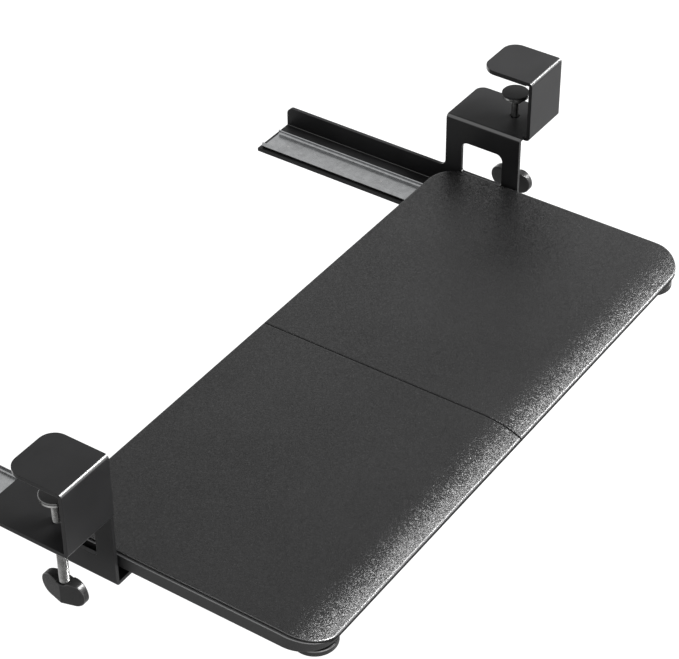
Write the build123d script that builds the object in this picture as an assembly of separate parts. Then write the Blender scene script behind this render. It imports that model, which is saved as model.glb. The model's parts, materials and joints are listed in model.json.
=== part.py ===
from build123d import *
import math
import os

# Keyboard tray that clamps to the front edge of a worktop and slides out below it.
# Sizes are in millimetres. X is to the right, +Y goes in under the worktop, +Z is up.
# The origin lies on the worktop's top front edge, midway between the two clamps.
# The tray is drawn pulled out. Everything is built for the right side and mirrored.

# Bent sheet of the brackets
sheet = 4.0
bend_inner = 0.5
bend_relief = 3.4

# Clamp jaws
clamp_width = 62.5
clamp_drop = 67.0
desk_thickness = 32.6
top_plate_depth = 59.6
top_plate_corner = 16.0
bottom_plate_depth = 96.0
bottom_plate_corner = 10.0
jaw_pad_thick = 1.6
jaw_pad_margin = 0.9
jaw_pad_front_gap = 4.0

# Hanging side plate, its window, lower rail and flange
hang_inset = 3.6
neck_width = 20.3
upper_rail_height = 28.4
lower_rail_height = 27.4
window_top_radius = 8.0
window_bottom_radius = 3.0
rail_overhang = 4.0
flange_reach = 58.4

# Tray
tray_half = 339.6
tray_depth = 300.0
tray_drop = 124.0
tray_height = 17.9
tray_reach = 207.1
front_corner = 34.0
back_corner = 32.0
side_gap = 6.8
seam_half_gap = 0.35

# Top cover with its rolled front edge
cover_thick = 2.4
roll_run = 40.0
roll_radius = 85.0
roll_edge_radius = 3.0
cover_lip = 13.1
cover_arris = 0.8

# Moulded base under the cover
groove_height = 1.2
groove_depth = 2.1
rim_step = 1.4
rim_arris = 0.7
wall = 2.6
skin = 2.2
rib = 1.8
long_rib_count = 6
cross_rib_count = 5
boss_radius = 4.6
boss_bore_depth = 9.0
tongue_width = 22.0
tongue_height = 4.0
tongue_reach = 8.0
tongue_clearance = 0.3
tongue_place_shares = (0.22, 0.5, 0.78)

# Joining bars across the seam
bar_half = 200.0
bar_width = 25.0
bar_thick = 3.0
bar_corner = 4.0
bar_clearance = 0.3
bar_place_shares = (0.28, 0.78)
bar_screw_shares = (0.2, 0.9)

# Ball-bearing slides
slide_inset = 31.6
slide_width = 35.0
slide_height = 11.9
slide_wall = 1.2
slide_length = 300.0
slide_set_back = 2.1
race_radius = 2.5
ball_radius = 2.4
row_ball_count = 3
cage_end_gap = 3.5
cage_lift = 0.3
cage_thick = 0.6
cage_rise = 3.2
pocket_clearance = 0.05
inner_front_gap = 8.6
inner_back_gap = 5.9
outer_race_start_degrees = -90
outer_race_sweep_degrees = 150
inner_race_start_degrees = 125
inner_race_sweep_degrees = 70
slide_screw_shares = (0.08, 0.5, 0.92)

# Round bumpers under the front corners
bumper_radius = 22.0
bumper_thick = 7.1
bumper_edge = 1.2
bumper_inset_side = 31.1
bumper_inset_front = 24.5
bumper_stem_radius = 12.0
bumper_stem_height = 4.1
bumper_boss_radius = 13.5

# Clamp screw, nut, foot and knob
screw_set_back = 33.0
screw_radius = 4.95
screw_fit = 0.05
screw_hole_clearance = 0.6
screw_length = 112.0
screw_in_knob = 15.0
screw_chamfer = 0.8
tip_radius = 3.4
tip_length = 4.7
nut_across_flats = 17.0
nut_height = 8.0
nut_chamfer = 0.8
cushion_radius = 15.0
cushion_thick = 2.0
foot_thick = 3.0
foot_hub_radius = 8.5
foot_hub_height = 6.0
socket_depth = 5.0
socket_fit = 0.08
foot_edge = 0.8
knob_length = 49.5
knob_lobe_radius = 12.3
knob_hub_half = 8.0
knob_end_half = 3.0
knob_hub_rise = 9.2
knob_hub_fall = 13.4
knob_edge = 1.0

# Small fasteners
screw_shank = 2.0
screw_head_radius = 3.8
screw_head_height = 2.0
screw_head_edge = 0.6
screw_clearance = 0.2
thread_clearance = 0.05
bumper_screw_sink = 3.2

# One overrun carries every cut clear of the solid that it cuts
overrun = 5.0

# Places that follow from the sizes above
bend_outer = bend_inner + sheet
x_hang_inner = tray_half + side_gap
x_hang_outer = x_hang_inner + sheet
x_clamp_inner = x_hang_outer + hang_inset
x_clamp_outer = x_clamp_inner + clamp_width
x_clamp = (x_clamp_inner + x_clamp_outer) / 2
x_flange_edge = x_hang_inner - flange_reach
x_slide = tray_half - slide_inset
x_bumper = tray_half - bumper_inset_side

y_tray_front = -tray_reach
y_tray_back = y_tray_front + tray_depth
y_hang_front = bend_inner + bend_relief
y_slide_front = y_hang_front + slide_set_back
y_slide_back = y_slide_front + slide_length
y_rail_back = y_slide_back + rail_overhang
y_bumper = y_tray_front + bumper_inset_front
y_inner_front = y_bumper + bumper_radius + inner_front_gap
y_inner_back = y_tray_back - inner_back_gap
y_cage_front = y_slide_front + cage_end_gap
y_cage_back = y_inner_back - cage_end_gap

z_top_plate = jaw_pad_thick
z_bottom_under = -clamp_drop
z_bottom_over = z_bottom_under + sheet
z_tray_top = -tray_drop
z_tray_bottom = z_tray_top - tray_height
z_flange_over = z_tray_bottom - slide_height
z_flange_under = z_flange_over - sheet
z_rail_top = z_flange_under + lower_rail_height
z_window_top = z_bottom_over - upper_rail_height
z_cover_under = z_tray_top - cover_thick
z_lip = z_tray_top - cover_lip
z_shoulder = z_cover_under - groove_height
z_bar_top = z_tray_bottom + bar_thick
z_cushion_top = -desk_thickness
z_foot_top = z_cushion_top - cushion_thick
z_hub_top = z_foot_top - foot_thick
z_hub_under = z_hub_top - foot_hub_height
z_socket_top = z_hub_under + socket_depth
z_nut_under = z_bottom_under - nut_height

ball_side = slide_width / 2 - race_radius - slide_wall
ball_lift = race_radius + slide_wall


# Helpers for sections and extrusions
def along_x(section, low, high):
    """Push a section drawn in Y and Z from x = low to x = high."""
    plane = Plane(origin=(low, 0, 0), x_dir=(0, 1, 0), z_dir=(1, 0, 0))
    return extrude(plane * section, amount=high - low, dir=(1, 0, 0))


def along_y(section, low, high):
    """Push a section drawn in X and Z from y = low to y = high."""
    plane = Plane(origin=(0, low, 0), x_dir=(1, 0, 0), z_dir=(0, -1, 0))
    return extrude(plane * section, amount=high - low, dir=(0, 1, 0))


def along_z(section, low, high):
    """Push a section drawn in X and Y from z = low to z = high."""
    plane = Plane(origin=(0, 0, low), x_dir=(1, 0, 0), z_dir=(0, 0, 1))
    return extrude(plane * section, amount=high - low, dir=(0, 0, 1))


def outline(*corners):
    """A flat face from corners given as (first, second, radius)."""
    points = [(corner[0], corner[1]) for corner in corners]
    radii = [corner[2] for corner in corners]
    return make_face(FilletPolyline(*points, radius=radii, close=True))


def rectangle(low_1, high_1, low_2, high_2):
    """A flat rectangle between two limits each way."""
    place = Pos((low_1 + high_1) / 2, (low_2 + high_2) / 2)
    return place * Rectangle(high_1 - low_1, high_2 - low_2)


def round_bar(radius, x, y, low, high):
    """An upright round bar from z = low to z = high."""
    return along_z(Pos(x, y) * Circle(radius), low, high)


def ring_sector(inner, outer, start, sweep):
    """A stretch of a ring about the origin, from the angle start over the angle sweep."""
    outer_arc = CenterArc((0, 0), outer, start, sweep)
    inner_arc = CenterArc((0, 0), inner, start, sweep)
    first_end = Line(outer_arc @ 0, inner_arc @ 0)
    last_end = Line(inner_arc @ 1, outer_arc @ 1)
    return make_face([outer_arc, last_end, inner_arc, first_end])


def to_left(solid):
    """The mirror image on the left side."""
    return mirror(solid, about=Plane.YZ)


def spread(low, high, count):
    """Evenly spaced places between two limits, with none on the limits."""
    return [low + (high - low) * (step + 1) / (count + 1) for step in range(count)]


def share_of(low, high, shares):
    """Places at the given shares of a stretch."""
    return [low + (high - low) * share for share in shares]


def pan_head_screw(length):
    """A small screw that points up, with the underside of its head at z = 0."""
    head = round_bar(screw_head_radius, 0, 0, -screw_head_height, 0)
    head = chamfer(head.edges().sort_by(Axis.Z)[0], screw_head_edge)
    return head + round_bar(screw_shank, 0, 0, 0, length)


# Clamp bracket: one sheet, bent five times
def jaw_sheet():
    """Top plate, front plate and bottom plate, with round corners at the back."""
    section = outline(
        (top_plate_depth, z_top_plate, 0),
        (0, z_top_plate, bend_inner),
        (0, z_bottom_over, bend_inner),
        (bottom_plate_depth, z_bottom_over, 0),
        (bottom_plate_depth, z_bottom_under, 0),
        (-sheet, z_bottom_under, bend_outer),
        (-sheet, z_top_plate + sheet, bend_outer),
        (top_plate_depth, z_top_plate + sheet, 0),
    )
    body = along_x(section, x_clamp_inner, x_clamp_outer)
    upright = body.edges().filter_by(Axis.Z)
    top_back = upright.filter_by_position(Axis.Y, top_plate_depth, top_plate_depth)
    body = fillet(top_back, top_plate_corner)
    upright = body.edges().filter_by(Axis.Z)
    bottom_back = upright.filter_by_position(Axis.Y, bottom_plate_depth, bottom_plate_depth)
    return fillet(bottom_back.sort_by(Axis.X)[-1], bottom_plate_corner)


def hanging_sheet():
    """The bottom plate's inboard strip, the side plate with its window, and the flange."""
    section = outline(
        (x_clamp, z_bottom_over, 0),
        (x_hang_inner, z_bottom_over, bend_outer),
        (x_hang_inner, z_flange_over, bend_inner),
        (x_flange_edge, z_flange_over, 0),
        (x_flange_edge, z_flange_under, 0),
        (x_hang_outer, z_flange_under, bend_outer),
        (x_hang_outer, z_bottom_under, bend_inner),
        (x_clamp, z_bottom_under, 0),
    )
    profile = along_y(section, y_hang_front, y_rail_back)
    side = outline(
        (y_hang_front, z_bottom_over + overrun, 0),
        (bottom_plate_depth, z_bottom_over + overrun, 0),
        (bottom_plate_depth, z_rail_top, window_top_radius),
        (y_rail_back, z_rail_top, window_top_radius),
        (y_rail_back, z_flange_under - overrun, 0),
        (y_hang_front, z_flange_under - overrun, 0),
    )
    window = outline(
        (y_hang_front + neck_width, z_window_top, window_top_radius),
        (bottom_plate_depth - neck_width, z_window_top, window_top_radius),
        (bottom_plate_depth - neck_width, z_rail_top, window_bottom_radius),
        (y_hang_front + neck_width, z_rail_top, window_bottom_radius),
    )
    keep = along_x(side - window, x_flange_edge - overrun, x_clamp + overrun)
    return profile & keep


def slide_outer_screw_places():
    """Where the fixed slide members are screwed down, along Y."""
    return share_of(y_slide_front, y_slide_back, slide_screw_shares)


def clamp_bracket():
    """The whole right bracket with its screw holes."""
    body = jaw_sheet() + hanging_sheet()
    hole = screw_radius + screw_hole_clearance
    body -= round_bar(hole, x_clamp, screw_set_back, z_bottom_under - overrun, z_bottom_over + overrun)
    for place in slide_outer_screw_places():
        hole = screw_shank + screw_clearance
        body -= round_bar(hole, x_slide, place, z_flange_under - overrun, z_flange_over + overrun)
    return body


def jaw_pad():
    """Rubber sheet under the top plate."""
    corner = top_plate_corner - jaw_pad_margin
    face = outline(
        (x_clamp_inner + jaw_pad_margin, jaw_pad_front_gap, 0),
        (x_clamp_outer - jaw_pad_margin, jaw_pad_front_gap, 0),
        (x_clamp_outer - jaw_pad_margin, top_plate_depth - jaw_pad_margin, corner),
        (x_clamp_inner + jaw_pad_margin, top_plate_depth - jaw_pad_margin, corner),
    )
    return along_z(face, 0, jaw_pad_thick)


def clamp_nut():
    """Hexagon nut welded under the bottom plate."""
    flats = RegularPolygon(nut_across_flats / 2, 6, major_radius=False)
    body = along_z(Pos(x_clamp, screw_set_back) * flats, z_nut_under, z_bottom_under)
    body = chamfer(body.faces().sort_by(Axis.Z)[0].edges(), nut_chamfer)
    bore = screw_radius + screw_fit
    return body - round_bar(bore, x_clamp, screw_set_back, z_nut_under - overrun, z_bottom_under + overrun)


# Clamp screw, foot and knob
def clamp_screw():
    """Round screw with a plain tip that turns in the foot."""
    z_shoulder_up = z_hub_under - socket_fit
    z_tip = z_shoulder_up + tip_length
    z_end = z_tip - screw_length
    shaft = round_bar(screw_radius, x_clamp, screw_set_back, z_end, z_shoulder_up)
    shaft = chamfer(shaft.edges().sort_by(Axis.Z)[-1], screw_chamfer)
    return shaft + round_bar(tip_radius, x_clamp, screw_set_back, z_shoulder_up, z_tip)


def knob_place():
    """Height of the knob's middle."""
    z_end = z_hub_under - socket_fit + tip_length - screw_length
    return z_end + screw_in_knob - knob_hub_rise


def knob():
    """Two-lobed knob, thick at the hub and thin at the ends."""
    half_length = knob_length / 2
    lobe = half_length - knob_lobe_radius
    low = -knob_lobe_radius
    plan = outline(
        (knob_end_half, -half_length, 0),
        (knob_hub_half, 0, 0),
        (knob_end_half, half_length, 0),
        (-knob_end_half, half_length, 0),
        (-knob_hub_half, 0, 0),
        (-knob_end_half, -half_length, 0),
    )
    front = Pos(-lobe, 0) * Circle(knob_lobe_radius)
    back = Pos(lobe, 0) * Circle(knob_lobe_radius)
    middle = outline(
        (-lobe, low, 0),
        (0, -knob_hub_fall, 0),
        (lobe, low, 0),
        (lobe, knob_hub_rise, 0),
        (-lobe, knob_hub_rise, 0),
    )
    side = front + back + middle
    body = along_z(plan, -half_length, half_length) & along_x(side, -half_length, half_length)
    body = fillet(body.edges(), knob_edge)
    body = Pos(x_clamp, screw_set_back, knob_place()) * body
    z_rise = knob_place() + knob_hub_rise
    bore = screw_radius + screw_fit
    return body - round_bar(bore, x_clamp, screw_set_back, z_rise - screw_in_knob, z_rise + overrun)


def clamp_foot():
    """Steel foot: a round plate over a hub with the screw's socket."""
    plate = round_bar(cushion_radius, x_clamp, screw_set_back, z_hub_top, z_foot_top)
    plate = chamfer(plate.edges().sort_by(Axis.Z)[0], foot_edge)
    hub = round_bar(foot_hub_radius, x_clamp, screw_set_back, z_hub_under, z_hub_top)
    hub = chamfer(hub.edges().sort_by(Axis.Z)[0], foot_edge)
    socket = round_bar(tip_radius + socket_fit, x_clamp, screw_set_back, z_hub_under - overrun, z_socket_top)
    return plate + hub - socket


def foot_cushion():
    """Rubber face that presses on the worktop's underside."""
    body = round_bar(cushion_radius, x_clamp, screw_set_back, z_foot_top, z_cushion_top)
    return chamfer(body.edges().sort_by(Axis.Z)[-1], foot_edge)


# Ball-bearing slides, lying flat between the flange and the tray
def slide_outer():
    """Fixed member: a flat web with a race curled up along each side."""
    outer = race_radius + slide_wall
    race = ring_sector(race_radius, outer, outer_race_start_degrees, outer_race_sweep_degrees)
    right = Pos(ball_side, ball_lift) * race
    left = mirror(right, about=Plane.YZ)
    web = rectangle(-ball_side, ball_side, 0, slide_wall)
    section = Pos(x_slide, z_flange_over) * (web + right + left)
    body = along_y(section, y_slide_front, y_slide_back)
    for place in slide_outer_screw_places():
        bore = screw_shank + thread_clearance
        body -= round_bar(bore, x_slide, place, z_flange_over - overrun, z_flange_over + ball_lift)
    return body


def slide_inner_screw_places():
    """Where the moving members are screwed to the tray, along Y."""
    return share_of(y_inner_front, y_inner_back, slide_screw_shares)


def slide_inner():
    """Moving member: a web under the tray, with a leg and a race down each side."""
    leg = ball_side - race_radius
    outer = race_radius + slide_wall
    race = ring_sector(race_radius, outer, inner_race_start_degrees, inner_race_sweep_degrees)
    post = rectangle(leg - slide_wall, leg, ball_lift, slide_height)
    right = Pos(ball_side, ball_lift) * race + post
    left = mirror(right, about=Plane.YZ)
    web = rectangle(-leg, leg, slide_height - slide_wall, slide_height)
    section = Pos(x_slide, z_flange_over) * (web + right + left)
    body = along_y(section, y_inner_front, y_inner_back)
    for place in slide_inner_screw_places():
        hole = screw_shank + screw_clearance
        body -= round_bar(hole, x_slide, place, z_tray_bottom - slide_wall - overrun, z_tray_bottom + overrun)
    return body


def ball_places():
    """Centres of the balls of one slide."""
    places = []
    for side in (-1, 1):
        for y in spread(y_cage_front, y_cage_back, row_ball_count):
            places.append((x_slide + side * ball_side, y, z_flange_over + ball_lift))
    return places


def ball_cage():
    """Thin channel that keeps the balls of one slide apart."""
    low = slide_wall + cage_lift
    high = ball_lift + cage_rise
    half = cage_thick / 2
    web = rectangle(-ball_side, ball_side, low, low + cage_thick)
    right = rectangle(ball_side - half, ball_side + half, low, high)
    left = rectangle(-ball_side - half, -ball_side + half, low, high)
    section = Pos(x_slide, z_flange_over) * (web + right + left)
    body = along_y(section, y_cage_front, y_cage_back)
    reach = ball_radius + pocket_clearance
    for x, y, z in ball_places():
        body -= along_x(Pos(y, z) * Circle(reach), x - reach, x + reach)
    return body


def slide_balls():
    """The balls of one slide."""
    return [Pos(*place) * Sphere(ball_radius) for place in ball_places()]


# Tray
def roll_section(top_inset, front_inset, z_low, nose_radius=0):
    """The tray seen from the side, set in from the top and from the rolled front."""
    y_roll = y_tray_front + roll_run
    z_centre = z_tray_top - roll_radius
    radius = roll_radius - top_inset
    y_front = y_tray_front + front_inset
    rise = math.sqrt(radius**2 - (y_roll - y_front) ** 2)
    middle = math.radians(90) + math.asin((y_roll - y_front) / radius) / 2
    y_back = y_tray_back + rim_step + overrun
    roll = ThreePointArc(
        (y_roll, z_centre + radius),
        (y_roll + radius * math.cos(middle), z_centre + radius * math.sin(middle)),
        (y_front, z_centre + rise),
    )
    edges = [
        Line((y_back, z_low), (y_back, z_centre + radius)),
        Line((y_back, z_centre + radius), (y_roll, z_centre + radius)),
        roll,
        Line((y_front, z_centre + rise), (y_front, z_low)),
        Line((y_front, z_low), (y_back, z_low)),
    ]
    face = make_face(edges)
    if nose_radius == 0:
        return face
    nose = face.vertices().sort_by_distance((y_front, z_centre + rise))[0]
    return fillet(nose, nose_radius)


def tray_plan(side_inset, front_inset):
    """The right half of the tray seen from above, set in from its edge."""
    x_side = tray_half - side_inset
    return outline(
        (seam_half_gap, y_tray_front + front_inset, 0),
        (x_side, y_tray_front + front_inset, front_corner - (side_inset + front_inset) / 2),
        (x_side, y_tray_back - side_inset, back_corner - side_inset),
        (seam_half_gap, y_tray_back - side_inset, 0),
    )


def tray_body(side_inset, top_inset, front_inset, z_low):
    """A solid with the tray's plan and its rolled front, both set in."""
    reach = tray_half + rim_step + overrun
    rolled = along_x(roll_section(top_inset, -overrun, z_low), -overrun, reach)
    return rolled & along_z(tray_plan(side_inset, front_inset), z_low - overrun, z_tray_top + overrun)


def top_arris(body, z_low):
    """The edges round the top of a tray solid, without upright edges or its lower rim."""
    arris = []
    for edge in body.edges():
        upright = edge.geom_type == GeomType.LINE and abs((edge % 0.5).Z) > 0.5
        across = edge.geom_type == GeomType.LINE and abs((edge % 0.5).X) > 0.5
        at_back = edge.center().Y > y_tray_back - back_corner
        above_rim = edge.center().Z > z_low + cover_arris
        if above_rim and not upright and (at_back or not across):
            arris.append(edge)
    return arris


def tray_top():
    """Top cover of the right half: a grained sheet rolled down at the front."""
    body = tray_body(0, 0, 0, z_lip)
    body = fillet(top_arris(body, z_lip), cover_arris)
    sharp_nose = roll_section(0, 0, z_lip - overrun)
    round_nose = roll_section(0, 0, z_lip - overrun, roll_edge_radius)
    body -= along_x(sharp_nose - round_nose, -overrun, tray_half + overrun)
    inner = roll_section(cover_thick, cover_thick, z_lip - overrun)
    return body - along_x(inner, -overrun, tray_half + overrun)


def bar_places():
    """Where the joining bars lie, along Y."""
    return share_of(y_tray_front, y_tray_back, bar_place_shares)


def bar_screw_places():
    """Where each half is screwed to a joining bar, along X."""
    return share_of(0, bar_half, bar_screw_shares)


def rib_grid():
    """The ribs and bosses that stay when the base is hollowed from below."""
    low = z_tray_bottom - overrun
    high = z_tray_top
    grid = []
    x_ribs = spread(seam_half_gap, tray_half - wall, long_rib_count)
    x_ribs += [x_slide - ball_side + race_radius, x_slide + ball_side - race_radius]
    for x in x_ribs:
        grid.append(along_z(rectangle(x - rib / 2, x + rib / 2, y_tray_front, y_tray_back), low, high))
    for y in spread(y_tray_front, y_tray_back, cross_rib_count):
        grid.append(along_z(rectangle(0, tray_half, y - rib / 2, y + rib / 2), low, high))
    for y in bar_places():
        for x in bar_screw_places():
            grid.append(round_bar(boss_radius, x, y, low, high))
    for y in slide_inner_screw_places():
        grid.append(round_bar(boss_radius, x_slide, y, low, high))
    grid.append(round_bar(bumper_boss_radius, x_bumper, y_bumper, low, high))
    return grid


def tray_base():
    """Moulded base of the right half, open and ribbed below."""
    shell = tray_body(-rim_step, cover_thick + groove_height, cover_thick, z_tray_bottom)
    shell = fillet(top_arris(shell, z_tray_bottom), rim_arris)
    plateau = tray_body(groove_depth, cover_thick, cover_thick, z_tray_bottom)
    body = shell + plateau
    top_inset = cover_thick + groove_height + skin
    hollow = tray_body(wall - rim_step, top_inset, cover_thick + wall, z_tray_bottom - overrun)
    hollow &= along_x(
        rectangle(y_tray_front, y_tray_back + overrun, z_tray_bottom - overrun, z_tray_top),
        seam_half_gap + wall,
        tray_half + overrun,
    )
    for piece in rib_grid():
        hollow -= piece
    body -= hollow
    for y in bar_places():
        reach = bar_width / 2 + bar_clearance
        recess = rectangle(0, bar_half + bar_clearance, y - reach, y + reach)
        body -= along_z(recess, z_tray_bottom - overrun, z_bar_top)
        for x in bar_screw_places():
            bore = screw_shank + thread_clearance
            body -= round_bar(bore, x, y, z_tray_bottom, z_tray_bottom + boss_bore_depth)
    for y in slide_inner_screw_places():
        bore = screw_shank + thread_clearance
        body -= round_bar(bore, x_slide, y, z_tray_bottom - overrun, z_tray_bottom + boss_bore_depth)
    bore = screw_shank + thread_clearance
    body -= round_bar(bore, x_bumper, y_bumper, z_tray_bottom - overrun, z_tray_bottom + boss_bore_depth)
    return body


def tongue(clearance):
    """The tongues that cross the seam, or their slots when a clearance is given."""
    z_middle = (z_bar_top + z_shoulder - skin) / 2
    pieces = []
    for y in share_of(y_tray_front, y_tray_back, tongue_place_shares):
        half = tongue_width / 2 + clearance
        face = rectangle(y - half, y + half, z_middle - tongue_height / 2 - clearance,
                         z_middle + tongue_height / 2 + clearance)
        pieces.append(along_x(face, -seam_half_gap - clearance, tongue_reach + clearance))
    return pieces


def joining_bar(y):
    """Flat steel bar let into the ribs on both sides of the seam."""
    corner = bar_corner
    face = outline(
        (-bar_half, y - bar_width / 2, corner),
        (bar_half, y - bar_width / 2, corner),
        (bar_half, y + bar_width / 2, corner),
        (-bar_half, y + bar_width / 2, corner),
    )
    body = along_z(face, z_tray_bottom, z_bar_top)
    for x in bar_screw_places():
        for side in (-1, 1):
            hole = screw_shank + screw_clearance
            body -= round_bar(hole, side * x, y, z_tray_bottom - overrun, z_bar_top + overrun)
    return body


def corner_bumper():
    """Rubber disc on a short stem, with the screw's head sunk from below."""
    z_disc_top = z_tray_bottom - bumper_stem_height
    z_disc_under = z_disc_top - bumper_thick
    disc = round_bar(bumper_radius, x_bumper, y_bumper, z_disc_under, z_disc_top)
    disc = chamfer(disc.edges().filter_by(GeomType.CIRCLE), bumper_edge)
    body = disc + round_bar(bumper_stem_radius, x_bumper, y_bumper, z_disc_top, z_tray_bottom)
    sink = screw_head_radius + screw_clearance
    body -= round_bar(sink, x_bumper, y_bumper, z_disc_under - overrun, z_disc_under + bumper_screw_sink)
    hole = screw_shank + screw_clearance
    return body - round_bar(hole, x_bumper, y_bumper, z_disc_under, z_tray_bottom + overrun)


# Small screws
def slide_outer_screws():
    """Screws up through the flange into the fixed member."""
    length = sheet + slide_wall
    screws = [Pos(x_slide, y, z_flange_under) * pan_head_screw(length) for y in slide_outer_screw_places()]
    return screws + [to_left(screw) for screw in screws]


def slide_inner_screws():
    """Screws up through the moving member into the base's bosses."""
    length = slide_wall + boss_bore_depth - thread_clearance
    z_head = z_tray_bottom - slide_wall
    screws = [Pos(x_slide, y, z_head) * pan_head_screw(length) for y in slide_inner_screw_places()]
    return screws + [to_left(screw) for screw in screws]


def joining_bar_screws():
    """Screws up through the joining bars."""
    length = boss_bore_depth - thread_clearance
    screws = []
    for y in bar_places():
        for x in bar_screw_places():
            screws.append(Pos(x, y, z_tray_bottom) * pan_head_screw(length))
    return screws + [to_left(screw) for screw in screws]


def bumper_screws():
    """Screws that hold the corner bumpers."""
    z_head = z_tray_bottom - bumper_stem_height - bumper_thick + bumper_screw_sink
    length = z_tray_bottom + boss_bore_depth - thread_clearance - z_head
    screw = Pos(x_bumper, y_bumper, z_head) * pan_head_screw(length)
    return [screw, to_left(screw)]


# Collect the named pieces
def both_sides(name, solid):
    """A right piece and its mirror image."""
    return {"right_" + name: solid, "left_" + name: to_left(solid)}


def same_hand(name, solid):
    """A right piece and the same piece moved to the left clamp, for right-hand threads."""
    return {"right_" + name: solid, "left_" + name: Pos(-2 * x_clamp, 0, 0) * solid}


def tray_halves():
    """The two bases, with tongues on the left and slots on the right."""
    right = tray_base()
    left = to_left(right)
    for piece in tongue(0):
        left += piece
    for piece in tongue(tongue_clearance):
        right -= piece
    return {"right_tray_base": right, "left_tray_base": left}


def all_pieces():
    """Every node of the assembly by name."""
    pieces = {}
    pieces.update(both_sides("clamp_bracket", clamp_bracket()))
    pieces.update(both_sides("jaw_pad", jaw_pad()))
    pieces.update(both_sides("clamp_nut", clamp_nut()))
    pieces.update(same_hand("clamp_screw", clamp_screw()))
    pieces.update(same_hand("knob", knob()))
    pieces.update(both_sides("clamp_foot", clamp_foot()))
    pieces.update(both_sides("foot_cushion", foot_cushion()))
    pieces.update(both_sides("slide_outer", slide_outer()))
    pieces.update(both_sides("slide_inner", slide_inner()))
    pieces.update(both_sides("ball_cage", ball_cage()))
    balls = slide_balls()
    pieces["right_slide_balls"] = Compound(children=balls)
    pieces["left_slide_balls"] = Compound(children=[to_left(ball) for ball in balls])
    pieces.update(both_sides("tray_top", tray_top()))
    pieces.update(tray_halves())
    front, rear = bar_places()
    pieces["front_joining_bar"] = joining_bar(front)
    pieces["rear_joining_bar"] = joining_bar(rear)
    pieces.update(both_sides("corner_bumper", corner_bumper()))
    pieces["slide_outer_screws"] = Compound(children=slide_outer_screws())
    pieces["slide_inner_screws"] = Compound(children=slide_inner_screws())
    pieces["joining_bar_screws"] = Compound(children=joining_bar_screws())
    pieces["bumper_screws"] = Compound(children=bumper_screws())
    return pieces


os.makedirs("parts", exist_ok=True)
for name, solid in all_pieces().items():
    export_step(solid, "parts/" + name + ".step")
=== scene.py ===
import json
import math

import bpy
from mathutils import Matrix, Vector


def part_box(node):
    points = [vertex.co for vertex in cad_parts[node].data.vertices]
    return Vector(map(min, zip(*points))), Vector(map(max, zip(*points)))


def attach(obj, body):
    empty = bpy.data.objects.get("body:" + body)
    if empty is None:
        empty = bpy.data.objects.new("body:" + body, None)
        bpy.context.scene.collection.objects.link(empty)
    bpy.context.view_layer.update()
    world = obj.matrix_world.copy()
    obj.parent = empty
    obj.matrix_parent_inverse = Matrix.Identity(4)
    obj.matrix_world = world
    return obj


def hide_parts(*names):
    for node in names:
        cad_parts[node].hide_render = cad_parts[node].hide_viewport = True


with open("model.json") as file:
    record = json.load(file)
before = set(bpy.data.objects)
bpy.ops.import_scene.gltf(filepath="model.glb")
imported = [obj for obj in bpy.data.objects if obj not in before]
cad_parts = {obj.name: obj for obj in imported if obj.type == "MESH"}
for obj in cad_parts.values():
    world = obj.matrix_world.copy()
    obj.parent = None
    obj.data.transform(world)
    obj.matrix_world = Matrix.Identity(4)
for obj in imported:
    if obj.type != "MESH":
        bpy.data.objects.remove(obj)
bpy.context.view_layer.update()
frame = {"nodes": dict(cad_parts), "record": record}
nodes = frame["nodes"]
sides = ("left", "right")

# Lengths are in metres

# Thread of the clamp screws, its outline given as places across and shares of the pitch
thread_pitch = 0.0015
thread_depth = 0.00085
thread_profile = (
    ("root", 0.0),
    ("root", 0.12),
    ("crest", 0.46),
    ("crest", 0.54),
    ("root", 0.88),
    ("root", 1.0),
)
thread_steps = 36
thread_smooth_degrees = 28

# Core of the clamp screws, a little slimmer than the thread's root, and its plain tip
core_sides = 48
core_depth_share = 1.02
core_lift = 0.0005
tip_radius = 0.0034
tip_length = 0.0048
tip_round = 0.0005
tip_round_steps = 3

# Small screws with a cross recess, where points within screw_reach belong to one screw
head_sides = 32
head_radius = 0.0038
head_height = 0.002
head_face_reach = 0.0004
head_dome = 0.0009
head_dome_steps = 5
shank_radius = 0.00198
screw_reach = 0.009
screw_smooth_degrees = 30
recess_width = 0.00085
recess_span = 0.0042
recess_depth = 0.0011
recess_taper = (0.5, 0.6, 1.0)

# Corner bumpers, set a little lower than their solids and inside them
bumper_sides = 96
bumper_disc = 0.0071
bumper_stem = 0.012
bumper_round = 0.0015
bumper_round_steps = 5
bumper_lower = 0.0005
bumper_trim = 0.0004
sink_radius = 0.004
sink_depth = 0.0032
sink_round = bumper_round / 4
sink_round_steps = 2

# Bead in the seam between the two halves of the tray
seal_height = 0.0018
seal_lift = 0.0004
seal_inset = 0.0026
seal_trim = 0.00002
seal_round = 0.0001
seal_round_steps = 3

# Choosing faces and edges, closing a mesh and shading it
facing = 0.9
level_within = 0.000001
ring_slack = 0.01
merge_within = 0.000002
rounding_samples = 6
usual_smooth_degrees = 35

# Camera, fitted to the clamps and the tray in the photograph
camera_place = (-1.44406, -0.99311, 1.28597)
camera_azimuth = math.radians(-56.607)
camera_elevation = math.radians(37.888)
camera_roll = math.radians(0.221)
camera_clip_end = 50.0
sensor_width = 36.0
focal_pixels = 2282.65
image_width = 679
image_height = 659
principal_point = (375.76, 317.56)

# Strip lamps that the rolled edge mirrors to the camera: name, x, y, depth and power in watts
strip_height = 1.53
strip_length = 2.2
strip_turn = (math.radians(15), 0, math.radians(-18))
strips = (
    ("upper_strip", 1.5, -0.82, 0.11, 41),
    ("middle_strip", 1.5, -0.99, 0.11, 41),
    ("lower_strip", 1.5, -1.16, 0.11, 41),
    ("edge_strip", 2.0, -1.74, 0.12, 38),
)

# Soft lamp in front of the tray
front_lamp_place = (-0.9, -2.3, 0.4)
front_lamp_aim = (0, -0.1, -0.12)
front_lamp_width = 1.6
front_lamp_depth = 1.2
front_lamp_power = 16

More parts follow.
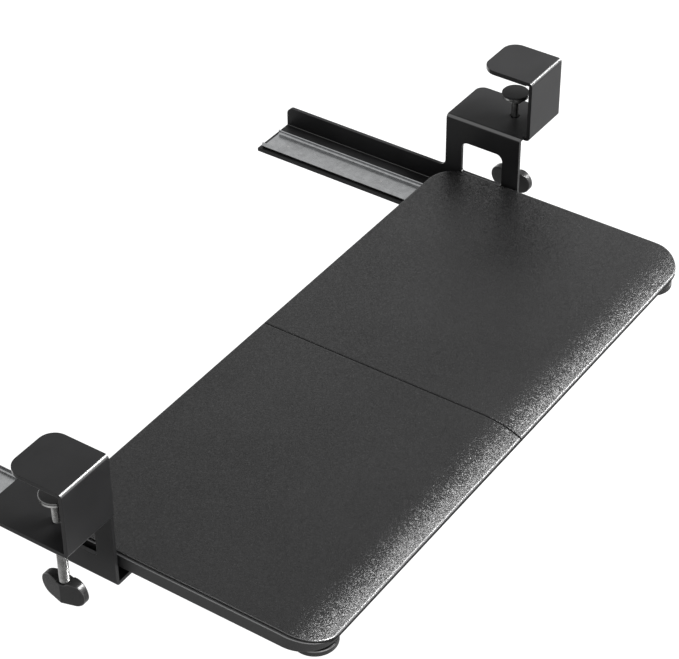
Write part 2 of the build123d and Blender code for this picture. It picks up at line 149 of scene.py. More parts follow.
# Floor and surrounding light
white = (1.0, 1.0, 1.0)
floor_size = 90
floor_height = -0.72
floor_colour = (0.88, 0.88, 0.88)
floor_glow = 1.14
floor_glow_share = 0.82
world_level = 0.4
world_seen_level = 1.0


# Modelling helpers
def start_piece():
    """Leave edit mode and deselect everything before a new primitive."""
    if bpy.context.object and bpy.context.object.mode != "OBJECT":
        bpy.ops.object.mode_set(mode="OBJECT")
    bpy.ops.object.select_all(action="DESELECT")


def make_active(piece):
    """Select a piece and make it the one that operators work on."""
    piece.select_set(True)
    bpy.context.view_layer.objects.active = piece


def clear_choice(kind):
    """Choose by faces or by edges from here on, with none chosen yet, outside edit mode."""
    bpy.ops.object.mode_set(mode="EDIT")
    bpy.ops.mesh.select_mode(type=kind)
    bpy.ops.mesh.select_all(action="DESELECT")
    bpy.ops.object.mode_set(mode="OBJECT")


def choose_faces(piece, wanted):
    """Select the faces whose normal the test accepts, and stay in edit mode."""
    clear_choice("FACE")
    for face in piece.data.polygons:
        face.select = wanted(face.normal)
    bpy.ops.object.mode_set(mode="EDIT")


def choose_edges(piece, wanted):
    """Select the edges whose two ends the test accepts, and stay in edit mode."""
    clear_choice("EDGE")
    points = piece.data.vertices
    for edge in piece.data.edges:
        edge.select = wanted(points[edge.vertices[0]].co, points[edge.vertices[1]].co)
    bpy.ops.object.mode_set(mode="EDIT")


def faces_up(normal):
    """Whether a face looks up."""
    return normal.z > facing


def faces_down(normal):
    """Whether a face looks down."""
    return normal.z < -facing


def is_level(first, second):
    """Whether an edge is level, from its two ends."""
    return abs(first.z - second.z) < level_within


def extrude_up(height):
    """In edit mode: extrude what is selected straight up."""
    bpy.ops.mesh.extrude_region_move(TRANSFORM_OT_translate={"value": (0, 0, height)})


def close_and_turn_out():
    """In edit mode: close open ends, merge doubles and point every face outwards."""
    bpy.ops.mesh.select_all(action="SELECT")
    bpy.ops.mesh.remove_doubles(threshold=merge_within)
    bpy.ops.mesh.fill_holes(sides=0)
    bpy.ops.mesh.normals_make_consistent(inside=False)


def join_pieces(first, others):
    """Join other pieces into the first one."""
    start_piece()
    for piece in others:
        piece.select_set(True)
    make_active(first)
    bpy.ops.object.join()


def finish_piece(piece, name, body, slot, smooth_degrees=usual_smooth_degrees):
    """Put a piece's place in its mesh, shade it, name it and let it ride on its body."""
    start_piece()
    make_active(piece)
    bpy.ops.object.transform_apply(location=True, rotation=True, scale=True)
    bpy.ops.object.shade_smooth_by_angle(angle=math.radians(smooth_degrees))
    piece.name = name
    piece.data.name = name
    piece.data.materials.clear()
    piece.data.materials.append(finishes[slot])
    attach(piece, body)


# Materials: nodes
def new_group(name, inputs, outputs):
    """An empty shader group, with named values going in and named results coming out."""
    group = bpy.data.node_groups.new(name, "ShaderNodeTree")
    for label, value in inputs:
        socket = group.interface.new_socket(
            name=label, in_out="INPUT", socket_type="NodeSocketFloat")
        socket.default_value = value
    for label, kind in outputs:
        group.interface.new_socket(name=label, in_out="OUTPUT", socket_type=kind)
    entry = group.nodes.new("NodeGroupInput")
    leave = group.nodes.new("NodeGroupOutput")
    return group, entry.outputs, leave.inputs


def set_input(tree, socket, value):
    """Set an input to a plain value, or link it to another node's output."""
    if isinstance(value, (int, float, tuple)):
        socket.default_value = value
    else:
        tree.links.new(value, socket)


def work_out(tree, operation, first, second=None, clamp=False):
    """The result of a Math node, kept between 0 and 1 where clamp is on."""
    node = tree.nodes.new("ShaderNodeMath")
    node.operation = operation
    node.use_clamp = clamp
    set_input(tree, node.inputs[0], first)
    if second is not None:
        set_input(tree, node.inputs[1], second)
    return node.outputs["Value"]


def work_out_vector(tree, operation, first, second):
    """The result of a Vector Math node: a number for a dot product, and otherwise a vector."""
    node = tree.nodes.new("ShaderNodeVectorMath")
    node.operation = operation
    set_input(tree, node.inputs[0], first)
    set_input(tree, node.inputs["Scale"] if operation == "SCALE" else node.inputs[1], second)
    return node.outputs["Value" if operation == "DOT_PRODUCT" else "Vector"]


def share_of(tree, mask, share):
    """A mask times its share."""
    return work_out(tree, "MULTIPLY", mask, share)


def add_share(tree, value, mask, share):
    """A value with a share of a mask on top, kept between 0 and 1."""
    return work_out(tree, "ADD", value, share_of(tree, mask, share), clamp=True)


def spread(tree, value, low, high, to_low=0.0, to_high=1.0):
    """A value between low and high, mapped to another range and kept inside it."""
    node = tree.nodes.new("ShaderNodeMapRange")
    tree.links.new(value, node.inputs["Value"])
    node.inputs["From Min"].default_value = low
    node.inputs["From Max"].default_value = high
    node.inputs["To Min"].default_value = to_low
    node.inputs["To Max"].default_value = to_high
    return node.outputs["Result"]


def noise_at(tree, place, scale, detail, roughness=0.5, result="Fac"):
    """A Noise texture read at a place."""
    node = tree.nodes.new("ShaderNodeTexNoise")
    tree.links.new(place, node.inputs["Vector"])
    set_input(tree, node.inputs["Scale"], scale)
    node.inputs["Detail"].default_value = detail
    node.inputs["Roughness"].default_value = roughness
    return node.outputs[result]


def place_on_piece(tree):
    """Where a point lies, in the piece's own coordinates."""
    return tree.nodes.new("ShaderNodeTexCoord").outputs["Object"]


def surface_normal(tree):
    """Which way the surface faces."""
    return tree.nodes.new("ShaderNodeNewGeometry").outputs["Normal"]


def rounded_normal(group, entry):
    """Which way the surface would face if its edges were rounded."""
    rounded = group.nodes.new("ShaderNodeBevel")
    rounded.samples = rounding_samples
    group.links.new(entry["Radius"], rounded.inputs["Radius"])
    return rounded.outputs["Normal"]


def parts_of(tree, vector):
    """The X, Y and Z of a vector."""
    split = tree.nodes.new("ShaderNodeSeparateXYZ")
    tree.links.new(vector, split.inputs[0])
    return split.outputs


# Materials: shared effects
def pebble_cells(group, feature, place, entry):
    """A Voronoi texture with one cell for each pebble."""
    cells = group.nodes.new("ShaderNodeTexVoronoi")
    cells.feature = feature
    group.links.new(place, cells.inputs["Vector"])
    group.links.new(entry["Pebbles per metre"], cells.inputs["Scale"])
    return cells.outputs


def pebble_lean(group, place, entry):
    """Each pebble's own slight tilt, as a height about its middle."""
    even_colour = (0.5, 0.5, 0.5)
    middles = pebble_cells(group, "F1", place, entry)
    offset = work_out_vector(group, "SUBTRACT", place, middles["Position"])
    way = work_out_vector(group, "SUBTRACT", middles["Color"], even_colour)
    rise = work_out_vector(group, "DOT_PRODUCT", offset, way)
    lean = work_out(group, "MULTIPLY", entry["Pebbles per metre"], entry["Lean"])
    return work_out(group, "MULTIPLY", rise, lean)


def pebble_grain_group():
    """Fine leather grain: uneven pebbles with narrow creases between them."""
    drift_detail = 2.0
    dome_reach = 0.35
    dome_height = 0.4
    crease_reach = 0.16
    fine_scale = 2.3
    fine_detail = 3.0
    fine_roughness = 0.6
    fine_height = 0.35
    group, entry, leave = new_group(
        "pebble_grain",
        [("Pebbles per metre", 420.0), ("Unevenness", 0.5), ("Lean", 3.0)],
        [("Height", "NodeSocketFloat"), ("Crease", "NodeSocketFloat")],
    )
    per_metre = entry["Pebbles per metre"]
    place = place_on_piece(group)
    drift = noise_at(group, place, per_metre, drift_detail, result="Color")
    push = work_out(group, "DIVIDE", entry["Unevenness"], per_metre)
    shift = work_out_vector(group, "SCALE", drift, push)
    moved = work_out_vector(group, "ADD", place, shift)
    to_edge = pebble_cells(group, "DISTANCE_TO_EDGE", moved, entry)["Distance"]
    dome = spread(group, to_edge, 0.0, dome_reach)
    crease = spread(group, to_edge, 0.0, crease_reach, 1.0, 0.0)
    fine_per_metre = work_out(group, "MULTIPLY", per_metre, fine_scale)
    fine = noise_at(group, place, fine_per_metre, fine_detail, fine_roughness)
    height = work_out(
        group, "ADD", share_of(group, dome, dome_height), share_of(group, fine, fine_height))
    height = work_out(group, "ADD", height, pebble_lean(group, moved, entry))
    group.links.new(height, leave["Height"])
    group.links.new(crease, leave["Crease"])
    return group


def handling_group():
    """Broad, faint marks of handling that vary tone and roughness."""
    mark_detail = 5.0
    mark_roughness = 0.62
    mark_from = 0.35
    mark_to = 0.68
    group, entry, leave = new_group(
        "handling", [("Marks per metre", 9.0)], [("Mark", "NodeSocketFloat")])
    place = place_on_piece(group)
    broad = noise_at(group, place, entry["Marks per metre"], mark_detail, mark_roughness)
    group.links.new(spread(group, broad, mark_from, mark_to), leave["Mark"])
    return group


def arris_group():
    """Where an edge is: a mask along edges, and the normal of a slightly rounded edge."""
    edge_from = 0.86
    edge_to = 0.99
    group, entry, leave = new_group(
        "arris",
        [("Radius", 0.0006)],
        [("Edge", "NodeSocketFloat"), ("Rounded", "NodeSocketVector")],
    )
    rounded = rounded_normal(group, entry)
    agree = work_out_vector(group, "DOT_PRODUCT", rounded, surface_normal(group))
    group.links.new(spread(group, agree, edge_from, edge_to, 1.0, 0.0), leave["Edge"])
    group.links.new(rounded, leave["Rounded"])
    return group


def bends_group():
    """Where the surface turns away from the flats of a squarely bent sheet."""
    sharpness = 12.0
    group, entry, leave = new_group(
        "bends", [("Flatness", 0.955)], [("Bend", "NodeSocketFloat")])
    normal = parts_of(group, surface_normal(group))
    x, y, z = [work_out(group, "ABSOLUTE", normal[axis]) for axis in "XYZ"]
    largest = work_out(group, "MAXIMUM", work_out(group, "MAXIMUM", x, y), z)
    turned = work_out(group, "SUBTRACT", entry["Flatness"], largest)
    bend = work_out(group, "MULTIPLY", turned, sharpness, clamp=True)
    group.links.new(bend, leave["Bend"])
    return group


def upper_arris_group():
    """Where a surface rolls over between a level top and an upright side."""
    line_sharpness = 12.0
    upright_sharpness = 8.0
    outward_least = -0.0002
    group, entry, leave = new_group(
        "upper_arris",
        [("Radius", 0.0012), ("Steepest", 0.12), ("Flattest", 0.86)],
        [("Line", "NodeSocketFloat"), ("Upright", "NodeSocketFloat")],
    )
    normal = parts_of(group, rounded_normal(group, entry))
    level = work_out(group, "MAXIMUM", normal["Z"], 0.0)
    steep = work_out(group, "SUBTRACT", entry["Steepest"], level)
    upright = work_out(group, "MULTIPLY", steep, upright_sharpness, clamp=True)
    group.links.new(upright, leave["Upright"])
    place = parts_of(group, place_on_piece(group))
    outward = work_out(group, "MULTIPLY", normal["X"], place["X"])
    outer = work_out(group, "GREATER_THAN", outward, outward_least)
    level = work_out(group, "MULTIPLY", level, outer)
    above = work_out(group, "SUBTRACT", level, entry["Steepest"])
    below = work_out(group, "SUBTRACT", entry["Flattest"], level)
    rise = work_out(group, "MULTIPLY", above, line_sharpness, clamp=True)
    fall = work_out(group, "MULTIPLY", below, line_sharpness, clamp=True)
    group.links.new(work_out(group, "MULTIPLY", rise, fall), leave["Line"])
    return group


pebble_grain = pebble_grain_group()
upper_arris = upper_arris_group()
bends = bends_group()
handling = handling_group()
arris = arris_group()


# Materials: building one finish
def new_finish(name, colour, roughness, metallic=0.0, specular=0.5):
    """A Principled material with its plain values on its own sockets."""
    material = bpy.data.materials.new(name)
    material.use_nodes = True
    shader = material.node_tree.nodes["Principled BSDF"]
    shader.inputs["Base Color"].default_value = (*colour, 1.0)
    shader.inputs["Roughness"].default_value = roughness
    shader.inputs["Metallic"].default_value = metallic
    shader.inputs["Specular IOR Level"].default_value = specular
    return material, material.node_tree, shader


def place_group(tree, group, **values):
    """A shared effect in one material, with that material's own values."""
    node = tree.nodes.new("ShaderNodeGroup")
    node.node_tree = group
    for label, value in values.items():
        node.inputs[label.replace("_", " ")].default_value = value
    return node.outputs


def vary_colour(tree, shader, mask, first, second):
    """Base colour between two tones by a mask."""
    mix = tree.nodes.new("ShaderNodeMix")
    mix.data_type = "RGBA"
    tree.links.new(mask, mix.inputs["Factor"])
    mix.inputs["A"].default_value = (*first, 1.0)
    mix.inputs["B"].default_value = (*second, 1.0)
    tree.links.new(mix.outputs["Result"], shader.inputs["Base Color"])


def polish(tree, shader, mask, roughness, ior):
    """A smoother, glossier skin where a mask is."""
    shader.inputs["Coat Roughness"].default_value = roughness
    shader.inputs["Coat IOR"].default_value = ior
    tree.links.new(mask, shader.inputs["Coat Weight"])


def add_relief(tree, shader, height, normal, distance, strength):
    """Relief from a height, on top of a rounded edge."""
    bump = tree.nodes.new("ShaderNodeBump")
    bump.inputs["Distance"].default_value = distance
    bump.inputs["Strength"].default_value = strength
    tree.links.new(height, bump.inputs["Height"])
    tree.links.new(normal, bump.inputs["Normal"])
    tree.links.new(bump.outputs["Normal"], shader.inputs["Normal"])


def grained_cover():
    """Dark grey plastic with a fine leather grain, a painted highlight along its rolled edge, and
    painted shade on its upright faces.
    """
    in_shade = (0.003, 0.003, 0.0031)
    # Colour of the painted highlight along the rolled edge
    painted_roll_highlight = (0.12, 0.12, 0.122)
    mark_tone = 0.03
    painted_highlight_share = 0.8
    crease_tone = 0.012
    # Share of painted shade on the cover's upright faces
    painted_upright_shade_share = 0.5
    crease_dullness = 0.3
    upright_dullness = 0.8
    material, tree, shader = new_finish(
        "grained_cover", colour=(0.012, 0.012, 0.012), roughness=0.2, specular=0.3)
    grain = place_group(tree, pebble_grain, Pebbles_per_metre=720.0, Unevenness=1.1, Lean=2.3)
    mark = place_group(tree, handling, Marks_per_metre=7.0)["Mark"]
    rounded = place_group(tree, arris, Radius=0.0024)["Rounded"]
    roll = place_group(tree, upper_arris, Radius=0.0024, Steepest=0.45)
    # Painted highlight: the rolled edge is painted lighter, as if lit by the strip lamps
    tone = add_share(tree, share_of(tree, mark, mark_tone), roll["Line"], painted_highlight_share)
    tone = add_share(tree, tone, grain["Crease"], crease_tone)
    # Painted shade: upright and downward faces of the cover, such as the front lip, are painted
    # darker
    painted_upright_shade = share_of(tree, roll["Upright"], painted_upright_shade_share)
    tone = work_out(tree, "SUBTRACT", tone, painted_upright_shade, clamp=True)
    vary_colour(tree, shader, tone, in_shade, painted_roll_highlight)
    polish(tree, shader, roll["Line"], roughness=0.2, ior=1.9)
    rough = spread(tree, mark, 0.0, 1.0, to_low=0.15, to_high=0.19)
    rough = add_share(tree, rough, grain["Crease"], crease_dullness)
    rough = add_share(tree, rough, roll["Upright"], upright_dullness)
    tree.links.new(rough, shader.inputs["Roughness"])
    add_relief(tree, shader, grain["Height"], rounded, distance=0.00018, strength=0.8)
    return material


def moulded_base():
    """Black moulded plastic with a fine spark-eroded texture, and a painted highlight on its
    upward faces and upper edges.
    """
    in_shade = (0.016, 0.016, 0.0162)
    # Colour of the painted highlight on the upward faces and upper edges
    painted_edge_highlight = (0.24, 0.24, 0.243)
    mark_tone = 0.03
    painted_highlight_share = 0.8
    texture_scale = 1500.0
    texture_detail = 3.0
    material, tree, shader = new_finish(
        "moulded_base", colour=(0.02, 0.02, 0.021), roughness=0.55, specular=0.3)
    texture = noise_at(tree, place_on_piece(tree), texture_scale, texture_detail)
    mark = place_group(tree, handling, Marks_per_metre=12.0)["Mark"]
    rounded = place_group(tree, arris, Radius=0.0007)["Rounded"]
    line = place_group(tree, upper_arris, Flattest=1.5)["Line"]
    polish(tree, shader, line, roughness=0.35, ior=1.8)
    # Painted highlight: upward faces and upper edges, such as the shoulder under the cover, are
    # painted lighter
    tone = add_share(tree, share_of(tree, mark, mark_tone), line, painted_highlight_share)
    vary_colour(tree, shader, tone, in_shade, painted_edge_highlight)
    add_relief(tree, shader, texture, rounded, distance=0.0002, strength=0.5)
    return material


def powder_coat():
    """Satin black powder coat with a faint orange peel, polished along its bends."""
    plain = (0.013, 0.013, 0.0134)
    worn = (0.024, 0.024, 0.0246)
    mark_wear = 0.5
    edge_wear = 0.6
    peel_scale = 900.0
    peel_detail = 3.0
    peel_roughness = 0.55
    material, tree, shader = new_finish(
        "powder_coat", colour=(0.018, 0.018, 0.019), roughness=0.45, specular=0.12)
    peel = noise_at(tree, place_on_piece(tree), peel_scale, peel_detail, peel_roughness)
    mark = place_group(tree, handling, Marks_per_metre=14.0)["Mark"]
    edge = place_group(tree, arris, Radius=0.0006)
    wear = add_share(tree, share_of(tree, mark, mark_wear), edge["Edge"], edge_wear)
    vary_colour(tree, shader, wear, plain, worn)
    polish(tree, shader, place_group(tree, bends)["Bend"], roughness=0.3, ior=1.9)
    rough = spread(tree, mark, 0.0, 1.0, to_low=0.4, to_high=0.5)
    tree.links.new(rough, shader.inputs["Roughness"])
    add_relief(tree, shader, peel, edge["Rounded"], distance=0.0002, strength=0.45)
    return material


def plated_steel(name, colour, roughness, wear):
    """Plated steel with fine drawn lines and a clouded plating."""
    drawn_out = (1.0, 0.05, 1.0)
    line_scale = 2600.0
    line_detail = 3.0
    cloud_scale = 160.0
    cloud_detail = 4.0
    cloud_roughness = 0.6
    cloud_from = 0.35
    cloud_to = 0.65
    line_from = 0.3
    line_to = 0.7
    smoothest = roughness * 0.8
    roughest = roughness * 1.3
    material, tree, shader = new_finish(name, colour, roughness, metallic=1.0)
    place = place_on_piece(tree)
    stretch = tree.nodes.new("ShaderNodeMapping")
    stretch.inputs["Scale"].default_value = drawn_out
    tree.links.new(place, stretch.inputs["Vector"])
    lines = noise_at(tree, stretch.outputs["Vector"], line_scale, line_detail)
    clouds = noise_at(tree, place, cloud_scale, cloud_detail, cloud_roughness)
    dull_colour = tuple(value * wear for value in colour)
    vary_colour(tree, shader, spread(tree, clouds, cloud_from, cloud_to), dull_colour, colour)
    rough = spread(tree, lines, line_from, line_to, smoothest, roughest)
    tree.links.new(rough, shader.inputs["Roughness"])
    rounded = place_group(tree, arris, Radius=0.0003)["Rounded"]
    add_relief(tree, shader, lines, rounded, distance=0.0001, strength=0.25)
    return material


def black_rubber():
    """Matt black rubber with a dry, dusty bloom."""
    clean = (0.01, 0.01, 0.01)
    dusty = (0.022, 0.022, 0.022)
    skin_scale = 1800.0
    skin_detail = 4.0
    skin_roughness = 0.6
    material, tree, shader = new_finish(
        "black_rubber", colour=(0.014, 0.014, 0.014), roughness=0.62, specular=0.3)
    skin = noise_at(tree, place_on_piece(tree), skin_scale, skin_detail, skin_roughness)
    bloom = place_group(tree, handling, Marks_per_metre=45.0)["Mark"]
    rounded = place_group(tree, arris, Radius=0.0006)["Rounded"]
    polish(tree, shader, place_group(tree, upper_arris)["Line"], roughness=0.2, ior=2.2)
    vary_colour(tree, shader, bloom, clean, dusty)
    add_relief(tree, shader, skin, rounded, distance=0.0002, strength=0.4)
    return material


def knob_plastic():
    """Black moulded knob plastic with a sparkling fine grain."""
    plain = (0.012, 0.012, 0.012)
    handled = (0.02, 0.02, 0.02)
    grain_scale = 1300.0
    grain_detail = 3.0
    grain_roughness = 0.7
    material, tree, shader = new_finish(
        "knob_plastic", colour=(0.02, 0.02, 0.02), roughness=0.42, specular=0.15)
    grain = noise_at(tree, place_on_piece(tree), grain_scale, grain_detail, grain_roughness)
    mark = place_group(tree, handling, Marks_per_metre=60.0)["Mark"]
    rounded = place_group(tree, arris, Radius=0.0006)["Rounded"]
    vary_colour(tree, shader, mark, plain, handled)
    bend = place_group(tree, bends, Flatness=0.97)["Bend"]
    polish(tree, shader, bend, roughness=0.22, ior=1.5)
    add_relief(tree, shader, grain, rounded, distance=0.0004, strength=0.5)
    return material


finishes = {
    "bracket_steel": powder_coat(),
    "bar_steel": powder_coat(),
    "rubber": black_rubber(),
    "knob_plastic": knob_plastic(),
    "tray_top_plastic": grained_cover(),
    "tray_base_plastic": moulded_base(),
    "zinc_steel": plated_steel("zinc_steel", (0.38, 0.38, 0.375), roughness=0.28, wear=0.7),
    "screw_steel": plated_steel("screw_steel", (0.42, 0.42, 0.42), roughness=0.32, wear=0.75),
    "slide_steel": plated_steel("slide_steel", (0.36, 0.365, 0.37), roughness=0.28, wear=0.8),
    "cage_steel": plated_steel("cage_steel", (0.42, 0.42, 0.4), roughness=0.35, wear=0.7),
    "ball_steel": plated_steel("ball_steel", (0.75, 0.75, 0.76), roughness=0.12, wear=0.92),
}
for part in frame["record"]["subparts"]:
    node = nodes[part["node"]]
    node.data.materials.clear()
    node.data.materials.append(finishes[part["material_slot"]])


# Clamp screws with their thread
def wound_thread(radius, turns):
    """The outline of one pitch, wound up the screw's axis from the origin."""
    reach = {"root": radius - thread_depth, "crest": radius}
    points = [(reach[part], share * thread_pitch) for part, share in thread_profile]
    start_piece()
    bpy.ops.mesh.primitive_plane_add(size=thread_pitch, location=(0, 0, 0))
    thread = bpy.context.object
    bpy.ops.object.mode_set(mode="EDIT")
    bpy.ops.mesh.select_all(action="SELECT")
    bpy.ops.mesh.merge(type="CENTER")
    bpy.ops.transform.translate(value=(points[0][0], 0, points[0][1]))
    for before, after in zip(points, points[1:]):
        step = (after[0] - before[0], 0, after[1] - before[1])
        bpy.ops.mesh.extrude_region_move(TRANSFORM_OT_translate={"value": step})
    bpy.ops.object.mode_set(mode="OBJECT")
    winding = thread.modifiers.new("winding", "SCREW")
    winding.axis = "Z"
    winding.angle = math.radians(360)
    winding.screw_offset = thread_pitch
    winding.iterations = turns
    winding.steps = thread_steps
    winding.render_steps = thread_steps
    winding.use_merge_vertices = True
    bpy.ops.object.modifier_apply(modifier=winding.name)
    bpy.ops.object.mode_set(mode="EDIT")
    close_and_turn_out()
    bpy.ops.object.mode_set(mode="OBJECT")
    return thread


def screw_core(radius, axis, base, tip_base, tip_top):
    """The core inside the thread, and the plain tip that stands out above it."""
    half = (tip_base - base) / 2
    start_piece()
    bpy.ops.mesh.primitive_cylinder_add(
        vertices=core_sides, radius=radius, depth=tip_base - base,
        location=(axis.x, axis.y, (tip_base + base) / 2))
    core = bpy.context.object
    choose_faces(core, faces_up)
    bpy.ops.mesh.inset(thickness=radius - tip_radius)
    extrude_up(tip_top - tip_base)
    within = tip_radius * (1 + ring_slack)
    above = half + tip_length / 2
    choose_edges(core, lambda start, end: is_level(start, end)
                 and start.xy.length < within and start.z > above)
    bpy.ops.mesh.bevel(offset=tip_round, segments=tip_round_steps)
    bpy.ops.object.mode_set(mode="OBJECT")
    return core


def threaded_screw(side):
    """The clamp screw: a rolled thread from the knob to the foot, with a plain tip."""
    low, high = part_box(side + "_clamp_screw")
    axis = (low + high) / 2
    radius = (high.x - low.x) / 2
    tip_base = high.z - tip_length
    turns = int((tip_base - low.z) / thread_pitch) - 1
    thread = wound_thread(radius, turns)
    thread.location = (axis.x, axis.y, low.z)
    core_radius = radius - thread_depth * core_depth_share
    core = screw_core(core_radius, axis, low.z + core_lift, tip_base, high.z)
    join_pieces(thread, [core])
    finish_piece(
        thread, side + "_threaded_screw", side + "_screw", "zinc_steel", thread_smooth_degrees)
    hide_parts(side + "_clamp_screw")


for side in sides:
    threaded_screw(side)


# Small screws with a cross recess
def screw_places(node):
    """The axis and the lower and upper ends of each separate screw in a CAD node."""
    screws = []
    for point in nodes[node].data.vertices:
        for screw in screws:
            if (point.co.xy - screw[0].co.xy).length < screw_reach:
                screw.append(point)
                break
        else:
            screws.append([point])
    places = []
    for screw in screws:
        xs = [point.co.x for point in screw]
        ys = [point.co.y for point in screw]
        zs = [point.co.z for point in screw]
        places.append(((min(xs) + max(xs)) / 2, (min(ys) + max(ys)) / 2, min(zs), max(zs)))
    return places


def cut_recess(screw, x, y, low, degrees):
    """Cut one bar of the cross recess into the face of the head."""
    start_piece()
    bpy.ops.mesh.primitive_cube_add(
        size=1, location=(x, y, low), rotation=(0, 0, math.radians(degrees)))
    bar = bpy.context.object
    bar.scale = (recess_span, recess_width, recess_depth * 2)
    bpy.ops.object.transform_apply(location=False, rotation=False, scale=True)
    choose_faces(bar, faces_up)
    bpy.ops.transform.resize(value=recess_taper)
    bpy.ops.object.mode_set(mode="OBJECT")
    cut = screw.modifiers.new("recess", "BOOLEAN")
    cut.operation = "DIFFERENCE"
    cut.solver = "EXACT"
    cut.object = bar
    start_piece()
    make_active(screw)
    bpy.ops.object.modifier_apply(modifier=cut.name)
    bpy.data.objects.remove(bar)


def cross_head_screw(x, y, low, high):
    """A pan head with a domed rim and a cross recess in its lower face, below its shank."""
    start_piece()
    bpy.ops.mesh.primitive_cylinder_add(
        vertices=head_sides, radius=head_radius, depth=head_height,
        location=(x, y, low + head_height / 2))
    screw = bpy.context.object
    choose_faces(screw, faces_up)
    bpy.ops.mesh.inset(thickness=head_radius - shank_radius)
    extrude_up(high - low - head_height)
    rim_top = head_face_reach - head_height / 2
    choose_edges(screw, lambda start, end: max(start.z, end.z) < rim_top)
    bpy.ops.mesh.bevel(offset=head_dome, segments=head_dome_steps)
    bpy.ops.object.mode_set(mode="OBJECT")
    for degrees in (0, 90):
        cut_recess(screw, x, y, low, degrees)
    return screw


def dress_screws(node, body, name):
    """Replace a CAD group of plain screws by one piece of cross-head screws."""
    places = screw_places(node)
    x, y, low, high = places[0]
    first = cross_head_screw(x, y, low, high)
    copies = []
    for other_x, other_y, other_low, _ in places[1:]:
        copy = first.copy()
        copy.data = first.data.copy()
        bpy.context.scene.collection.objects.link(copy)
        copy.location = (other_x, other_y, first.location.z + other_low - low)
        copies.append(copy)
    join_pieces(first, copies)
    finish_piece(first, name, body, "screw_steel", screw_smooth_degrees)
    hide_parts(node)


dress_screws("slide_outer_screws", "clamps", "flange_cross_heads")
dress_screws("slide_inner_screws", "tray", "slide_cross_heads")
dress_screws("joining_bar_screws", "tray", "bar_cross_heads")
dress_screws("bumper_screws", "tray", "bumper_cross_heads")


# Corner bumpers with a rounded rim
def moulded_bumper(side):
    """A rubber disc in one piece with its stem, and with the sink for its screw."""
    low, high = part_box(side + "_corner_bumper")
    x = (low.x + high.x) / 2
    y = (low.y + high.y) / 2
    radius = (high.x - low.x) / 2 - bumper_trim
    base = low.z - bumper_lower
    start_piece()
    bpy.ops.mesh.primitive_cylinder_add(
        vertices=bumper_sides, radius=radius, depth=bumper_disc,
        location=(x, y, base + bumper_disc / 2))
    disc = bpy.context.object
    choose_faces(disc, faces_up)
    bpy.ops.mesh.inset(thickness=radius - bumper_stem)
    extrude_up(high.z - base - bumper_disc)
    choose_faces(disc, faces_down)
    bpy.ops.mesh.inset(thickness=radius - sink_radius)
    extrude_up(sink_depth + bumper_lower)
    rim = radius * (1 - ring_slack)
    choose_edges(disc, lambda start, end: is_level(start, end)
                 and min(start.xy.length, end.xy.length) > rim)
    bpy.ops.mesh.bevel(offset=bumper_round, segments=bumper_round_steps)
    mouth = sink_radius * (1 + ring_slack)
    underside = level_within - bumper_disc / 2
    choose_edges(disc, lambda start, end: is_level(start, end)
                 and start.xy.length < mouth and max(start.z, end.z) < underside)
    bpy.ops.mesh.bevel(offset=sink_round, segments=sink_round_steps)
    finish_piece(disc, side + "_moulded_bumper", "tray", "rubber")
    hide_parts(side + "_corner_bumper")


for side in sides:
    moulded_bumper(side)


# Bead between the two halves
def seam_seal():
    """A thin rubber bead that closes the gap between the facing walls, above the joining bars."""
    low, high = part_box("right_tray_top")
    gap_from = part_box("left_tray_top")[1].x
    width = low.x - gap_from - 2 * seal_trim
    length = high.y - low.y - 2 * seal_inset
    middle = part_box("front_joining_bar")[1].z + seal_lift + seal_height / 2
    start_piece()
    bpy.ops.mesh.primitive_cube_add(
        size=1, location=((low.x + gap_from) / 2, (low.y + high.y) / 2, middle))
    seal = bpy.context.object
    seal.scale = (width, length, seal_height)
    bpy.ops.object.transform_apply(location=False, rotation=False, scale=True)
    choose_edges(seal, lambda start, end: abs(start.y - end.y) > length / 2)
    bpy.ops.mesh.bevel(offset=seal_round, segments=seal_round_steps)
    finish_piece(seal, "seam_seal", "tray", "rubber")


seam_seal()


# Floor, lights and camera
def seen_plainly(tree):
    """1 for camera, glossy and transmission rays, and 0 for the light that reaches the object."""
    path = tree.nodes.new("ShaderNodeLightPath").outputs
    seen = work_out(tree, "MAXIMUM", path["Is Camera Ray"], path["Is Glossy Ray"])
    return work_out(tree, "MAXIMUM", seen, path["Is Transmission Ray"])


def mix_shaders(tree, share, first, second):
    """Two shaders mixed by a share, from the first at 0 to the second at 1."""
    mix = tree.nodes.new("ShaderNodeMixShader")
    tree.links.new(share, mix.inputs["Fac"])
    tree.links.new(first, mix.inputs[1])
    tree.links.new(second, mix.inputs[2])
    return mix.outputs["Shader"]


def pale_floor():
    """A wide pale floor well below the tray, which keeps a soft shadow."""
    start_piece()
    bpy.ops.mesh.primitive_plane_add(size=floor_size, location=(0, 0, floor_height))
    floor = bpy.context.object
    floor.name = "floor"
    material = bpy.data.materials.new("pale_floor")
    material.use_nodes = True
    tree = material.node_tree
    tree.nodes.clear()
    matt = tree.nodes.new("ShaderNodeBsdfDiffuse")
    matt.inputs["Color"].default_value = (*floor_colour, 1.0)
    glow = tree.nodes.new("ShaderNodeEmission")
    glow.inputs["Color"].default_value = (*white, 1.0)
    glow.inputs["Strength"].default_value = floor_glow
    glow_share = share_of(tree, seen_plainly(tree), floor_glow_share)
    upper_side = mix_shaders(tree, glow_share, matt.outputs[0], glow.outputs[0])
    from_below = tree.nodes.new("ShaderNodeNewGeometry").outputs["Backfacing"]
    clear = tree.nodes.new("ShaderNodeBsdfTransparent").outputs[0]
    leave = tree.nodes.new("ShaderNodeOutputMaterial")
    tree.links.new(mix_shaders(tree, from_below, upper_side, clear), leave.inputs["Surface"])
    floor.data.materials.append(material)


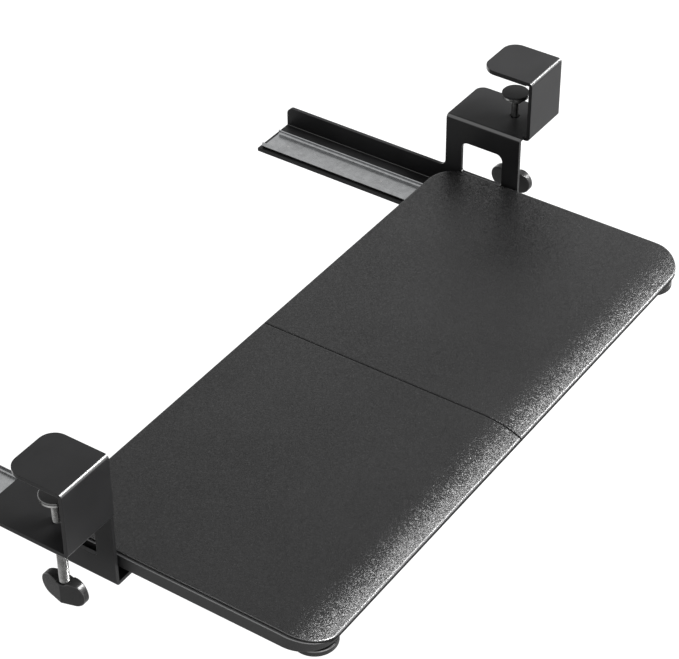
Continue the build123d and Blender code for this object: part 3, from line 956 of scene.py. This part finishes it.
def studio_world():
    """Even light from all round, white where it is seen directly or in a reflection."""
    world = bpy.data.worlds.new("studio")
    bpy.context.scene.world = world
    world.use_nodes = True
    tree = world.node_tree
    tree.nodes.clear()
    sky = tree.nodes.new("ShaderNodeBackground")
    sky.inputs["Color"].default_value = (*white, 1.0)
    level = spread(tree, seen_plainly(tree), 0.0, 1.0, world_level, world_seen_level)
    tree.links.new(level, sky.inputs["Strength"])
    leave = tree.nodes.new("ShaderNodeOutputWorld")
    tree.links.new(sky.outputs[0], leave.inputs["Surface"])


def hang_lamp(name, place, turn, width, depth, power):
    """A rectangular area lamp at its place, turned as given."""
    lamp = bpy.data.lights.new(name, "AREA")
    lamp.shape = "RECTANGLE"
    lamp.size = width
    lamp.size_y = depth
    lamp.energy = power
    holder = bpy.data.objects.new(name, lamp)
    bpy.context.scene.collection.objects.link(holder)
    holder.location = place
    holder.rotation_euler = turn


def studio_lamps():
    """Level strips of light hung along the tray's rolled edge, and a soft lamp in front."""
    for name, x, y, depth, power in strips:
        hang_lamp(name, (x, y, strip_height), strip_turn, strip_length, depth, power)
    way = Vector(front_lamp_aim) - Vector(front_lamp_place)
    turn = way.to_track_quat("-Z", "Y").to_euler()
    hang_lamp(
        "front_lamp", front_lamp_place, turn, front_lamp_width, front_lamp_depth,
        front_lamp_power)


def photo_camera():
    """The camera of the photograph's view."""
    camera = bpy.data.cameras.new("photo_camera")
    camera.sensor_fit = "HORIZONTAL"
    camera.sensor_width = sensor_width
    camera.lens = focal_pixels / image_width * sensor_width
    camera.shift_x = -(principal_point[0] - image_width / 2) / image_width
    camera.shift_y = (principal_point[1] - image_height / 2) / image_width
    camera.clip_end = camera_clip_end
    holder = bpy.data.objects.new("photo_camera", camera)
    bpy.context.scene.collection.objects.link(holder)
    back = Vector((
        math.sin(camera_azimuth) * math.cos(camera_elevation),
        -math.cos(camera_azimuth) * math.cos(camera_elevation),
        math.sin(camera_elevation),
    ))
    turn = back.to_track_quat("Z", "Y").to_matrix()
    roll = Matrix.Rotation(camera_roll, 3, "Z")
    holder.location = camera_place
    holder.rotation_euler = (turn @ roll).to_euler()
    bpy.context.scene.camera = holder


pale_floor()
studio_world()
studio_lamps()
photo_camera()
bpy.context.scene.view_settings.view_transform = "Standard"
